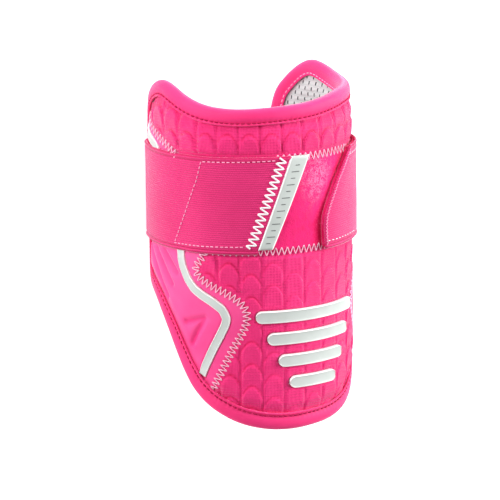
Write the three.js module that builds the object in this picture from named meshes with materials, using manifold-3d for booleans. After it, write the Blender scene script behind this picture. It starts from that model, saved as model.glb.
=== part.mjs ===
// Elbow guard: a padded cuff, open at the back, with a bound edge and a wide elastic strap.
// Millimetres and degrees. The guard lies on the flat of its strap, front face up (+Z),
// with the upper arm's end towards +Y.

import * as THREE from 'three';
import Module from 'manifold-3d';

const wasm = await Module();
wasm.setup();

// Padded cuff
const guardLength = 185;
const outerRadius = 54.8;
const wallThickness = 8;
const wrapHalfAngle = 130;
const cornerRadius = 12;
const liningThickness = 1.3;
const fit = 0.3;

// Bound edge
const edgeInset = 0.6;
const edgeThickness = 6.6;
const bindingWidth = 9.4;
const bindingWall = 1.1;
const bindingSlack = 0.5;
const swellWidth = 9;
const swellMargin = 1.5;

// Strap, its loop panel, hook pad and label
const strapWidth = 52;
const strapThickness = 1.2;
const strapHeight = 96.5;
const strapFixedAngle = -24.5;
const strapHookAngle = 20.5;
const endSlant = 19;
const loopThickness = 0.7;
const loopLeftAngle = -63;
const loopRightAngle = 62;
const loopMargin = 1.6;
const hookThickness = 0.8;
const hookLength = 24;
const hookSetback = 1.5;
const labelWidth = 9.6;
const labelThickness = 1.5;

// Moulded flashes and ribs
const flashWidth = 4;
const flashDepth = 1.1;
const flashProud = 0.7;
const ribDepth = 0.8;
const ribProud = 1.5;
const ribHeight = 6.6;
const ribPitch = 12;
const topRibHeight = 62.5;
const longestRib = 66;
const ribStep = 12;
const ribCount = 4;
const edgeChamfer = 0.5;
const seatOpening = 3;

// How finely the surfaces are divided
const columnStep = 6;
const rimStep = 6;
const cutterReach = 4;

// Rims: turn is the share of wrapHalfAngle, rise the share of guardLength
const topRim = [
  { turn: -1.0, rise: 0.881 },
  { turn: -0.969, rise: 0.919 },
  { turn: -0.931, rise: 0.945 },
  { turn: -0.869, rise: 0.976 },
  { turn: -0.777, rise: 1.0 },
  { turn: -0.7, rise: 0.995 },
  { turn: -0.615, rise: 0.971 },
  { turn: -0.554, rise: 0.956 },
  { turn: -0.477, rise: 0.943 },
  { turn: -0.346, rise: 0.936 },
  { turn: -0.154, rise: 0.941 },
  { turn: 0.0, rise: 0.946 },
  { turn: 0.146, rise: 0.957 },
  { turn: 0.269, rise: 0.965 },
  { turn: 0.46, rise: 0.969 },
  { turn: 0.577, rise: 0.975 },
  { turn: 0.646, rise: 0.984 },
  { turn: 0.715, rise: 0.996 },
  { turn: 0.785, rise: 1.0 },
  { turn: 0.869, rise: 0.972 },
  { turn: 0.931, rise: 0.936 },
  { turn: 0.969, rise: 0.919 },
  { turn: 1.0, rise: 0.881 },
];

const lowerRim = [
  { turn: -1.0, rise: 0.385 },
  { turn: -0.9, rise: 0.374 },
  { turn: -0.831, rise: 0.354 },
  { turn: -0.769, rise: 0.316 },
  { turn: -0.708, rise: 0.265 },
  { turn: -0.638, rise: 0.187 },
  { turn: -0.573, rise: 0.122 },
  { turn: -0.5, rise: 0.077 },
  { turn: -0.431, rise: 0.049 },
  { turn: -0.346, rise: 0.024 },
  { turn: -0.231, rise: 0.006 },
  { turn: -0.115, rise: 0.0 },
  { turn: 0.0, rise: 0.003 },
  { turn: 0.138, rise: 0.012 },
  { turn: 0.246, rise: 0.031 },
  { turn: 0.315, rise: 0.053 },
  { turn: 0.4, rise: 0.085 },
  { turn: 0.477, rise: 0.122 },
  { turn: 0.554, rise: 0.171 },
  { turn: 0.638, rise: 0.222 },
  { turn: 0.708, rise: 0.272 },
  { turn: 0.769, rise: 0.316 },
  { turn: 0.831, rise: 0.354 },
  { turn: 0.9, rise: 0.374 },
  { turn: 1.0, rise: 0.385 },
];

// Seam between the front panel and each wing: rise up the guard, turn away from the front line
const seamLine = [
  { rise: -0.05, turn: 0.515 },
  { rise: 0.08, turn: 0.485 },
  { rise: 0.128, turn: 0.454 },
  { rise: 0.18, turn: 0.412 },
  { rise: 0.249, turn: 0.362 },
  { rise: 0.293, turn: 0.321 },
  { rise: 0.33, turn: 0.3 },
  { rise: 0.362, turn: 0.305 },
  { rise: 0.388, turn: 0.338 },
  { rise: 0.412, turn: 0.4 },
  { rise: 0.43, turn: 0.47 },
  { rise: 0.452, turn: 0.522 },
  { rise: 0.478, turn: 0.536 },
  { rise: 0.51, turn: 0.49 },
  { rise: 0.56, turn: 0.49 },
  { rise: 0.79, turn: 0.61 },
  { rise: 0.822, turn: 0.69 },
  { rise: 0.854, turn: 0.808 },
  { rise: 0.9, turn: 0.885 },
  { rise: 1.05, turn: 0.93 },
];

// Centre line of each flash, from the free edge down to the lower rim
const flashLine = [
  { turn: 0.935, rise: 0.868 },
  { turn: 0.862, rise: 0.83 },
  { turn: 0.785, rise: 0.806 },
  { turn: 0.7, rise: 0.72 },
  { turn: 0.63, rise: 0.6 },
  { turn: 0.612, rise: 0.515 },
  { turn: 0.598, rise: 0.475 },
  { turn: 0.572, rise: 0.44 },
  { turn: 0.54, rise: 0.414 },
  { turn: 0.5, rise: 0.397 },
  { turn: 0.454, rise: 0.381 },
  { turn: 0.408, rise: 0.36 },
  { turn: 0.389, rise: 0.333 },
  { turn: 0.398, rise: 0.313 },
  { turn: 0.421, rise: 0.282 },
  { turn: 0.454, rise: 0.24 },
  { turn: 0.515, rise: 0.155 },
];

// Fits that follow from the sizes above
const edgeRadius = outerRadius - edgeInset;
const edgeHalf = edgeThickness / 2;
const edgeMiddle = edgeRadius - edgeHalf;
const padEdgeOuter = edgeRadius - bindingWall - fit;
const padEdgeInner = edgeRadius - edgeThickness + bindingWall + fit;
const padInner = outerRadius - wallThickness;
const swellStart = bindingWidth + swellMargin;
const loopInner = outerRadius + fit;
const overLoop = loopInner + loopThickness + fit;
const overHook = overLoop + hookThickness + fit;
const foldInner = outerRadius + fit - edgeMiddle;
const foldOuter = foldInner + strapThickness;
const axisHeight = foldOuter - edgeMiddle * Math.cos(THREE.MathUtils.degToRad(wrapHalfAngle));
const strapTop = strapHeight + strapWidth;
const arcPerDegree = THREE.MathUtils.degToRad(outerRadius);

// A point of the guard: degrees round from the front line, millimetres up from the tongue's end
function place(angle, along, radius) {
  const turn = THREE.MathUtils.degToRad(angle);
  return new THREE.Vector3(
    radius * Math.sin(turn),
    along - guardLength / 2,
    axisHeight + radius * Math.cos(turn),
  );
}

// Smooth curve through a table's rows, read at one value of its first column
function readTable(rows, from, to, at) {
  const last = rows.length - 1;
  let i = 0;
  while (i < last - 1 && at > rows[i + 1][from]) i += 1;
  const slope = (k) => {
    const a = rows[Math.max(k - 1, 0)];
    const b = rows[Math.min(k + 1, last)];
    return (b[to] - a[to]) / (b[from] - a[from]);
  };
  const width = rows[i + 1][from] - rows[i][from];
  const t = THREE.MathUtils.clamp((at - rows[i][from]) / width, 0, 1);
  const stay = 1 - t;
  return rows[i][to] * stay * stay * (1 + 2 * t)
    + rows[i + 1][to] * t * t * (3 - 2 * t)
    + slope(i) * width * t * stay * stay
    - slope(i + 1) * width * t * t * stay;
}

// How far a rounded corner cuts in at a distance from the free edge
function cornerDrop(fromEdge) {
  if (fromEdge >= cornerRadius) return 0;
  return cornerRadius - Math.sqrt(cornerRadius ** 2 - (cornerRadius - fromEdge) ** 2);
}

function rimHeight(rows, angle) {
  const fromEdge = Math.max(0, (wrapHalfAngle - Math.abs(angle)) * arcPerDegree);
  const drop = cornerDrop(fromEdge);
  const along = guardLength * readTable(rows, 'turn', 'rise', angle / wrapHalfAngle);
  return rows === topRim ? along - drop : along + drop;
}

// The guard's outline laid flat, anticlockwise: x is the arc from the front line, y the height
function flatOutline() {
  const points = [];
  const corner = cornerRadius / arcPerDegree;
  const angles = [];
  for (let turn = 0; turn < 90; turn += 15) {
    angles.push(wrapHalfAngle - corner * (1 - Math.cos(THREE.MathUtils.degToRad(turn))));
  }
  const steps = Math.ceil((wrapHalfAngle - corner) * arcPerDegree * 2 / rimStep);
  for (let i = 0; i <= steps; i += 1) {
    angles.push((wrapHalfAngle - corner) * (1 - 2 * i / steps));
  }
  for (let turn = 75; turn >= 0; turn -= 15) {
    angles.push(-wrapHalfAngle + corner * (1 - Math.cos(THREE.MathUtils.degToRad(turn))));
  }
  const add = (angle, along) => points.push(new THREE.Vector2(angle * arcPerDegree, along));
  const addSide = (side, low, high) => {
    const count = Math.round(Math.abs(high - low) / rimStep);
    for (let i = 1; i < count; i += 1) {
      add(side * wrapHalfAngle, THREE.MathUtils.lerp(low, high, i / count));
    }
  };
  for (const angle of angles) add(angle, rimHeight(topRim, angle));
  addSide(-1, rimHeight(topRim, -wrapHalfAngle), rimHeight(lowerRim, -wrapHalfAngle));
  for (const angle of angles.slice().reverse()) add(angle, rimHeight(lowerRim, angle));
  addSide(1, rimHeight(lowerRim, wrapHalfAngle), rimHeight(topRim, wrapHalfAngle));
  return points;
}

const outline = flatOutline();

// Inward direction of the outline at one of its points
function inwardAt(index) {
  const before = outline[(index + outline.length - 1) % outline.length];
  const after = outline[(index + 1) % outline.length];
  const along = after.clone().sub(before).normalize();
  return new THREE.Vector2(-along.y, along.x);
}

const padInset = edgeHalf + bindingSlack;
const insetOutline = outline.map((point, i) => point.clone().addScaledVector(inwardAt(i), padInset));

// Lowest or highest height of the inset outline above one place on the arc
function insetHeight(x, high) {
  let found = high ? -Infinity : Infinity;
  for (let i = 0; i < insetOutline.length; i += 1) {
    const a = insetOutline[i];
    const b = insetOutline[(i + 1) % insetOutline.length];
    if ((a.x - x) * (b.x - x) <= 0 && a.x !== b.x) {
      const along = a.y + (b.y - a.y) * (x - a.x) / (b.x - a.x);
      found = high ? Math.max(found, along) : Math.min(found, along);
    }
  }
  return found;
}

function distanceToOutline(x, y) {
  const point = new THREE.Vector3(x, y, 0);
  const edge = new THREE.Line3();
  const nearest = new THREE.Vector3();
  let best = Infinity;
  for (let i = 0; i < outline.length; i += 1) {
    const a = outline[i];
    const b = outline[(i + 1) % outline.length];
    edge.start.set(a.x, a.y, 0);
    edge.end.set(b.x, b.y, 0);
    edge.closestPointToPoint(point, true, nearest);
    best = Math.min(best, nearest.distanceTo(point));
  }
  return best;
}

// The padding swells from its bound edge to its full thickness
function swell(x, y) {
  return THREE.MathUtils.smoothstep(distanceToOutline(x, y), swellStart, swellStart + swellWidth);
}

function outerFace(x, y) {
  return THREE.MathUtils.lerp(padEdgeOuter, outerRadius, swell(x, y));
}

function liningFace(x, y) {
  return THREE.MathUtils.lerp(padEdgeInner, padInner, swell(x, y));
}

// One closed body from rings of points; open lofts are capped by pairing each ring's two sides
function loft(rings, closed) {
  const size = rings[0].length;
  const position = rings.flat().flatMap((point) => point.toArray());
  const index = [];
  const quad = (a, b, c, d) => index.push(a, b, c, a, c, d);
  const spans = closed ? rings.length : rings.length - 1;
  for (let i = 0; i < spans; i += 1) {
    const here = i * size;
    const there = ((i + 1) % rings.length) * size;
    for (let k = 0; k < size; k += 1) {
      const next = (k + 1) % size;
      if (k < size / 2) quad(here + k, here + next, there + next, there + k);
      else quad(here + next, there + next, there + k, here + k);
    }
  }
  if (!closed) {
    const end = (rings.length - 1) * size;
    for (let k = 0; k < size / 2 - 1; k += 1) {
      quad(size - 1 - k, size - 2 - k, k + 1, k);
      quad(end + k, end + k + 1, end + size - 2 - k, end + size - 1 - k);
    }
  }
  return outward({ position: Float32Array.from(position), index: Uint32Array.from(index) });
}

function outward(body) {
  const a = new THREE.Vector3();
  const b = new THREE.Vector3();
  const c = new THREE.Vector3();
  let volume = 0;
  for (let i = 0; i < body.index.length; i += 3) {
    a.fromArray(body.position, body.index[i] * 3);
    b.fromArray(body.position, body.index[i + 1] * 3);
    c.fromArray(body.position, body.index[i + 2] * 3);
    volume += a.dot(b.cross(c));
  }
  if (volume < 0) body.index.reverse();
  return body;
}

function asManifold(body) {
  return new wasm.Manifold(new wasm.Mesh({
    numProp: 3,
    vertProperties: body.position,
    triVerts: body.index,
  }));
}

function asBody(manifold) {
  const mesh = manifold.getMesh();
  return { position: mesh.vertProperties, index: mesh.triVerts };
}

// Height, going in from a rim, where a column reaches a depth from the outline
function heightAtDepth(x, rim, middle, depth) {
  if (distanceToOutline(x, middle) <= depth) {
    return THREE.MathUtils.lerp(rim, middle, depth / (swellStart + swellWidth) / 2);
  }
  let near = rim;
  let far = middle;
  for (let i = 0; i < 12; i += 1) {
    const half = (near + far) / 2;
    if (distanceToOutline(x, half) < depth) near = half;
    else far = half;
  }
  return far;
}

// Rows of one column: close together over the swell at both rims, even between
function columnHeights(x) {
  const low = insetHeight(x, false);
  const high = insetHeight(x, true);
  const middle = (low + high) / 2;
  const depths = [0, 0.4, 1].map((share) => swellStart + share * swellWidth);
  const lower = depths.map((depth) => heightAtDepth(x, low, middle, depth));
  const upper = depths.map((depth) => heightAtDepth(x, high, middle, depth)).reverse();
  const even = [0.25, 0.5, 0.75].map((share) => THREE.MathUtils.lerp(lower[2], upper[0], share));
  return [low, ...lower, ...even, ...upper, high];
}

// A curved sheet over the whole guard between two faces, one ring for each column
function cuffSheet(outer, inner) {
  const half = wrapHalfAngle - padInset / arcPerDegree;
  const nearEdge = [0, 0.2, 0.45, 0.8, 1.2].map((share) => share * cornerRadius / arcPerDegree);
  const columns = nearEdge.map((back) => -half + back);
  const reach = half - 1.6 * cornerRadius / arcPerDegree;
  const steps = Math.round(2 * reach / columnStep);
  for (let i = 0; i <= steps; i += 1) columns.push(reach * (2 * i / steps - 1));
  columns.push(...nearEdge.slice().reverse().map((back) => half - back));
  const rings = columns.map((angle) => {
    const x = THREE.MathUtils.clamp(angle, -half + 0.01, half - 0.01) * arcPerDegree;
    const heights = columnHeights(x);
    return [
      ...heights.map((y) => place(angle, y, outer(x, y))),
      ...heights.reverse().map((y) => place(angle, y, inner(x, y))),
    ];
  });
  return loft(rings, false);
}

// A cutter between two lines of angle, reaching from inside the cuff to well outside it
function sector(heights, leftAngle, rightAngle) {
  const inside = padInner - cutterReach;
  const outside = overHook + strapThickness + cutterReach;
  const divisions = 12;
  const rings = heights.map((along) => {
    const left = leftAngle(along);
    const right = rightAngle(along);
    const outer = [];
    const inner = [];
    for (let i = 0; i <= divisions; i += 1) {
      const angle = THREE.MathUtils.lerp(left, right, i / divisions);
      outer.push(place(angle, along, outside));
      inner.push(place(angle, along, inside));
    }
    return [...outer, ...inner.reverse()];
  });
  return asManifold(loft(rings, false));
}

// A moulded strip along a path on the cuff, from below its surface to the station's own lift
function strip(stations, depth) {
  const rings = stations.map((station) => {
    const { half, lift } = station;
    const chamfer = Math.min(edgeChamfer, half / 2);
    const section = [
      [-half, -depth],
      [-half, lift - chamfer],
      [-half + chamfer, lift],
      [half - chamfer, lift],
      [half, lift - chamfer],
      [half, -depth],
    ];
    return section.map(([across, up]) => {
      const x = station.x + station.side.x * across;
      const y = station.y + station.side.y * across;
      return place(x / arcPerDegree, y, outerFace(station.x, station.y) + up);
    });
  });
  return loft(rings, false);
}

// The seat cut for a strip: the same path, wider, longer and deeper by the fit, and open above
function seat(stations, depth) {
  const last = stations.length - 1;
  const wider = stations.map((station, i) => {
    const end = i === 0 ? -fit : i === last ? fit : 0;
    const x = station.x - station.side.y * end * station.way;
    const y = station.y + station.side.x * end * station.way;
    return { ...station, x, y, half: station.half + fit, lift: seatOpening };
  });
  return asManifold(strip(wider, depth + fit));
}

function flashStations(side) {
  const points = flashLine.map((row) => new THREE.Vector2(
    side * row.turn * wrapHalfAngle * arcPerDegree,
    row.rise * guardLength,
  ));
  const curve = new THREE.SplineCurve(points);
  const count = 28;
  const stations = [];
  for (let i = 0; i <= count; i += 1) {
    const point = curve.getPointAt(i / count);
    const along = curve.getTangentAt(i / count);
    const under = point.y > strapHeight - flashWidth && point.y < strapTop + flashWidth;
    stations.push({
      x: point.x,
      y: point.y,
      side: new THREE.Vector2(along.y, -along.x),
      way: 1,
      half: flashWidth / 2,
      lift: under ? 0 : flashProud,
    });
  }
  return stations.filter((at) => distanceToOutline(at.x, at.y) > swellStart);
}

// A round-ended bar across the front
function ribStations(index) {
  const length = longestRib - index * ribStep;
  const y = topRibHeight - index * ribPitch;
  const half = ribHeight / 2;
  const stations = [];
  const side = new THREE.Vector2(0, 1);
  const add = (x, width) => stations.push({ x, y, side, way: -1, half: width, lift: ribProud });
  const round = [10, 35, 60];
  for (const turn of round) {
    const angle = THREE.MathUtils.degToRad(turn);
    add(-length / 2 + half * (1 - Math.cos(angle)), half * Math.sin(angle));
  }
  const steps = Math.ceil((length - ribHeight) / (columnStep * arcPerDegree));
  for (let i = 0; i <= steps; i += 1) add((length / 2 - half) * (2 * i / steps - 1), half);
  for (const turn of round.slice().reverse()) {
    const angle = THREE.MathUtils.degToRad(turn);
    add(length / 2 - half * (1 - Math.cos(angle)), half * Math.sin(angle));
  }
  return stations;
}

// The fabric tape folded over the whole edge of the cuff
function edgeBinding() {
  const outer = edgeRadius;
  const inner = edgeRadius - edgeThickness;
  const section = [[bindingWidth, outer], [edgeHalf, outer]];
  for (const turn of [45, 90, 135]) {
    const angle = THREE.MathUtils.degToRad(turn);
    section.push([edgeHalf * (1 - Math.sin(angle)), edgeMiddle + edgeHalf * Math.cos(angle)]);
  }
  section.push([edgeHalf, inner], [bindingWidth, inner], [bindingWidth, inner + bindingWall]);
  section.push([edgeHalf - fit, inner + bindingWall], [edgeHalf - fit, outer - bindingWall]);
  section.push([bindingWidth, outer - bindingWall]);
  const rings = outline.map((point, i) => {
    const inward = inwardAt(i);
    return section.map(([depth, radius]) => {
      const x = point.x + inward.x * depth;
      return place(x / arcPerDegree, point.y + inward.y * depth, radius);
    });
  });
  return loft(rings, true);
}

// Inner face of the strap round the cuff; it climbs over the loop panel and the hook pad
function strapInner(angle) {
  const rise = THREE.MathUtils.smoothstep;
  const loopStart = angle < 0 ? -loopLeftAngle : loopRightAngle;
  const hookEnd = hookEndAngle();
  const loopRise = 1 - rise(Math.abs(angle), loopStart + 2, loopStart + 14);
  const hookRise = angle > 0 ? 1 - rise(angle, hookEnd + 2, hookEnd + 12) : 0;
  return outerRadius + fit + (overLoop - loopInner) * loopRise + (overHook - overLoop) * hookRise;
}

function hookEndAngle() {
  return strapHookAngle + (endSlant / 2 + hookLength) / arcPerDegree;
}

function bandRing(angle, inner, thickness, low, high) {
  return [
    place(angle, low, inner),
    place(angle, low, inner + thickness),
    place(angle, high, inner + thickness),
    place(angle, high, inner),
  ];
}

// Strap round both wings, folded over each free edge and straight across the opening
function strapBand() {
  const rings = [];
  const reach = endSlant / arcPerDegree;
  const wrap = (from, to) => {
    const steps = Math.ceil(Math.abs(to - from) / columnStep);
    for (let i = 0; i <= steps; i += 1) {
      const angle = THREE.MathUtils.lerp(from, to, i / steps);
      rings.push(bandRing(angle, strapInner(angle), strapThickness, strapHeight, strapTop));
    }
  };
  const fold = (side) => {
    const turns = [0.2, 0.4, 0.6, 0.8, 1];
    for (const share of side < 0 ? turns : turns.reverse()) {
      const turn = THREE.MathUtils.degToRad(THREE.MathUtils.lerp(wrapHalfAngle, 180, share));
      const centre = place(side * wrapHalfAngle, 0, edgeMiddle);
      const at = (radius, along) => new THREE.Vector3(
        centre.x + side * radius * Math.sin(turn),
        along - guardLength / 2,
        centre.z + radius * Math.cos(turn),
      );
      rings.push([
        at(foldInner, strapHeight),
        at(foldOuter, strapHeight),
        at(foldOuter, strapTop),
        at(foldInner, strapTop),
      ]);
    }
  };
  wrap(strapFixedAngle + reach, -wrapHalfAngle);
  fold(-1);
  fold(1);
  wrap(wrapHalfAngle, strapHookAngle - reach);
  return loft(rings, false);
}

// Angle of a slanted cut across the strap
function slanted(middle, shift) {
  const centre = strapHeight + strapWidth / 2;
  return (along) => middle + (endSlant * (along - centre) / strapWidth + shift) / arcPerDegree;
}

const bandHeights = [-0.1, 0.1, 0.3, 0.5, 0.7, 0.9, 1.1].map((share) => strapHeight + strapWidth * share);

function elasticStrap() {
  const gap = sector(bandHeights, slanted(strapFixedAngle, 0), slanted(strapHookAngle, 0));
  return asBody(asManifold(strapBand()).subtract(gap));
}

function bandPatch(inner, thickness, low, high, left, right) {
  const rings = [];
  const from = Math.min(left(low), left(high)) - columnStep;
  const to = Math.max(right(low), right(high)) + columnStep;
  const steps = Math.ceil((to - from) / columnStep);
  for (let i = 0; i <= steps; i += 1) {
    rings.push(bandRing(THREE.MathUtils.lerp(from, to, i / steps), inner, thickness, low, high));
  }
  return asBody(asManifold(loft(rings, false)).intersect(sector(bandHeights, left, right)));
}

function loopPanel() {
  const low = strapHeight + loopMargin;
  const high = strapTop - loopMargin;
  return bandPatch(loopInner, loopThickness, low, high, () => loopLeftAngle, () => loopRightAngle);
}

function hookPad() {
  const left = slanted(strapHookAngle, hookSetback);
  const low = strapHeight + hookSetback;
  const high = strapTop - hookSetback;
  return bandPatch(overLoop, hookThickness, low, high, left, () => hookEndAngle());
}

function labelTab() {
  const left = slanted(strapFixedAngle, fit);
  const right = slanted(strapFixedAngle, fit + labelWidth);
  return bandPatch(overLoop, labelThickness, strapHeight, strapTop, left, right);
}

// Seam angle at a height, on the right side
function seamAngle(along) {
  return wrapHalfAngle * readTable(seamLine, 'rise', 'turn', along / guardLength);
}

function seamHeights() {
  const first = seamLine[0].rise * guardLength;
  const last = seamLine[seamLine.length - 1].rise * guardLength;
  const steps = 40;
  return Array.from({ length: steps + 1 }, (_, i) => THREE.MathUtils.lerp(first, last, i / steps));
}

function padding() {
  const inner = (x, y) => liningFace(x, y) + liningThickness + fit;
  let body = asManifold(cuffSheet(outerFace, inner));
  for (const side of [-1, 1]) body = body.subtract(seat(flashStations(side), flashDepth));
  for (let i = 0; i < ribCount; i += 1) body = body.subtract(seat(ribStations(i), ribDepth));
  return body;
}

const paddedCuff = padding();
const halfSeam = fit / 2 / arcPerDegree;

function frontSector(widen) {
  const left = (along) => -seamAngle(along) - widen;
  const right = (along) => seamAngle(along) + widen;
  return sector(seamHeights(), left, right);
}

function frontPanel() {
  return asBody(paddedCuff.intersect(frontSector(-halfSeam)));
}

function wing(side) {
  const heights = [-guardLength, 2 * guardLength];
  const near = () => 5 * side;
  const far = () => 175 * side;
  const half = side > 0 ? sector(heights, near, far) : sector(heights, far, near);
  return asBody(paddedCuff.subtract(frontSector(halfSeam)).intersect(half));
}

function meshLining() {
  return cuffSheet((x, y) => liningFace(x, y) + liningThickness, liningFace);
}

const materials = {
  knit: new THREE.MeshStandardMaterial({ color: 0xf0508c, roughness: 0.75, metalness: 0 }),
  stretch: new THREE.MeshStandardMaterial({ color: 0xf25d94, roughness: 0.7, metalness: 0 }),
  mesh: new THREE.MeshStandardMaterial({ color: 0xd8dcdd, roughness: 0.85, metalness: 0 }),
  tape: new THREE.MeshStandardMaterial({ color: 0xee4f8a, roughness: 0.65, metalness: 0 }),
  elastic: new THREE.MeshStandardMaterial({ color: 0xe8457f, roughness: 0.7, metalness: 0 }),
  pile: new THREE.MeshStandardMaterial({ color: 0xf2669a, roughness: 0.95, metalness: 0 }),
  rubber: new THREE.MeshStandardMaterial({ color: 0xe4eae6, roughness: 0.4, metalness: 0 }),
  label: new THREE.MeshStandardMaterial({ color: 0xe3e4e2, roughness: 0.6, metalness: 0 }),
};

const guard = new THREE.Group();

function addPiece(name, body, material) {
  const geometry = new THREE.BufferGeometry();
  geometry.setAttribute('position', new THREE.BufferAttribute(body.position, 3));
  geometry.setIndex(new THREE.BufferAttribute(body.index, 1));
  geometry.computeVertexNormals();
  const mesh = new THREE.Mesh(geometry, material);
  mesh.name = name;
  guard.add(mesh);
}

addPiece('front_panel', frontPanel(), materials.knit);
addPiece('left_wing', wing(-1), materials.stretch);
addPiece('right_wing', wing(1), materials.stretch);
addPiece('mesh_lining', meshLining(), materials.mesh);
addPiece('edge_binding', edgeBinding(), materials.tape);
addPiece('flash_left', strip(flashStations(-1), flashDepth), materials.rubber);
addPiece('flash_right', strip(flashStations(1), flashDepth), materials.rubber);
addPiece('loop_panel', loopPanel(), materials.pile);
addPiece('elastic_strap', elasticStrap(), materials.elastic);
addPiece('hook_pad', hookPad(), materials.pile);
addPiece('label_tab', labelTab(), materials.label);
for (let i = 0; i < ribCount; i += 1) {
  addPiece(`front_rib_${i + 1}`, strip(ribStations(i), ribDepth), materials.rubber);
}

export default guard;
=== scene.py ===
import math

import bmesh
import bpy
import numpy as np
from mathutils import Matrix, Vector
from mathutils.bvhtree import BVHTree
from mathutils.kdtree import KDTree


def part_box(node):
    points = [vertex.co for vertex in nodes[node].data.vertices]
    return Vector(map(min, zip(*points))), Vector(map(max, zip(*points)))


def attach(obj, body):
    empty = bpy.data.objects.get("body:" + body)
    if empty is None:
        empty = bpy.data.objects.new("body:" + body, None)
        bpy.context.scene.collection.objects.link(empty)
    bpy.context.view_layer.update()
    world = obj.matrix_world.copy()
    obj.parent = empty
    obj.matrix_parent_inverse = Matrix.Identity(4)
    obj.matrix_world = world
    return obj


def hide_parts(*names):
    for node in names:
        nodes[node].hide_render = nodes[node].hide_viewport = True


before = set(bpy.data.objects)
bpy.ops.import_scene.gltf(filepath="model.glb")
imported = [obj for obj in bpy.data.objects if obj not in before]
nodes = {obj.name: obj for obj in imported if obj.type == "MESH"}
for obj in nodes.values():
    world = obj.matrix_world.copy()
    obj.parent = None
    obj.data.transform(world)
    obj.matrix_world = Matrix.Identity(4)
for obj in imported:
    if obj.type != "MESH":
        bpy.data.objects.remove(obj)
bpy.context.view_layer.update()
print("frame loaded:", len(nodes), "nodes")

mm = 0.001

# the guard's own sizes in millimetres, read off the frame where it has them
cuff = {
    "radius": 54.8,
    "foot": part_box("edge_binding")[0][1] / mm,
    "wrap": 130.0,            # degrees from the front line to a free edge
    "edgeInset": 0.6,         # bound edge, below the full radius
    "edgeThickness": 6.6,
    "edgeWall": 1.4,          # tape and slack on the inside of the edge
    "edgeStep": 0.7,          # between points of the edge's line
    "tapeWidth": 9.4,         # how far the tape reaches in from the edge
    "coverInset": 3.9,        # the cover's own edge, hidden in the tape
    "coverSink": 2.0,         # the cover where the tape holds it down
    "swell": (7.6, 16.0),     # distances from the edge over which the padding rises
    "seamSlit": 0.15,         # half the gap between front and wing
    "wall": 8.0,
    "lining": 1.3,
    "fit": 0.3,
    "solidStrap": 1.2,
}
cuff["length"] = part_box("edge_binding")[1][1] / mm - cuff["foot"]
cuff["edgeMiddle"] = cuff["radius"] - cuff["edgeInset"] - cuff["edgeThickness"] / 2
strapFold = cuff["radius"] + cuff["fit"] + cuff["solidStrap"] - cuff["edgeMiddle"]
cuff["axis"] = strapFold - cuff["edgeMiddle"] * math.cos(math.radians(cuff["wrap"]))
radius = cuff["radius"]
perDegree = math.radians(radius)      # millimetres of arc for a degree

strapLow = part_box("elastic_strap")[0][1] / mm - cuff["foot"]
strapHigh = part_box("elastic_strap")[1][1] / mm - cuff["foot"]
strapMiddle = (strapLow + strapHigh) / 2


# x is the arc from the front line, y the height from the tongue's end, out the radius
def placeAll(x, y, out):
    turn = np.asarray(x) / radius
    points = [out * np.sin(turn), cuff["foot"] + y, cuff["axis"] + out * np.cos(turn)]
    return np.stack(np.broadcast_arrays(*points), axis=-1) * mm


def flatten(points):
    points = np.asarray(points) / mm
    turn = np.arctan2(points[..., 0], points[..., 2] - cuff["axis"])
    out = np.hypot(points[..., 0], points[..., 2] - cuff["axis"])
    return turn * radius, points[..., 1] - cuff["foot"], out


def ease(low, high, value):
    share = np.clip((value - low) / (high - low), 0, 1)
    return share * share * (3 - 2 * share)


def blur(values, reach, closed=True):
    kernel = np.hanning(2 * reach + 3)[1:-1]
    kernel /= kernel.sum()
    padded = np.pad(values, (reach, reach), mode="wrap" if closed else "edge")
    return np.convolve(padded, kernel, mode="valid")


def evenly(points, step, closed=False):
    run = np.vstack([points, points[:1]]) if closed else points
    lengths = np.hypot(*np.diff(run, axis=0).T)
    reached = np.concatenate([[0], np.cumsum(lengths)])
    count = int(round(reached[-1] / step))
    if closed:
        wanted = np.linspace(0, reached[-1], count, endpoint=False)
    else:
        wanted = np.linspace(0, reached[-1], count + 1)
    return np.stack([np.interp(wanted, reached, run[:, k]) for k in range(2)], axis=1)


def treeOf(points):
    tree = KDTree(len(points))
    for i, point in enumerate(points):
        tree.insert((point[0], point[1], 0), i)
    tree.balance()
    return tree


def awayFrom(tree, x, y):
    return np.array([tree.find((a, b, 0))[2] for a, b in zip(x, y)])


# the bound edge's line, one point for each ring of the binding's solid
def edgeLine():
    spots = [tuple(vert.co) for vert in nodes["edge_binding"].data.vertices]
    x, y, out = flatten(np.unique(np.round(spots, 6), axis=0))
    on = np.abs(out - cuff["edgeMiddle"]) < 0.03
    left = list(zip(x[on], y[on]))
    line = [left.pop(0)]
    while left:
        nearest = min(range(len(left)), key=lambda i: math.dist(left[i], line[-1]))
        line.append(left.pop(nearest))
    line = evenly(np.array(line), cuff["edgeStep"], closed=True)
    line = np.stack([blur(blur(line[:, k], 5), 5) for k in range(2)], axis=1)
    area = np.sum(line[:, 0] * np.roll(line[:, 1], -1) - np.roll(line[:, 0], -1) * line[:, 1])
    return line if area > 0 else line[::-1]


edge = edgeLine()
edgeWay = np.roll(edge, -1, axis=0) - np.roll(edge, 1, axis=0)
edgeWay /= np.hypot(*edgeWay.T)[:, None]
edgeIn = np.stack([-edgeWay[:, 1], edgeWay[:, 0]], axis=1)
edgeTree = treeOf(edge)
print("edge line:", len(edge), "points,", round(len(edge) * cuff["edgeStep"]), "mm round")


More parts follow.
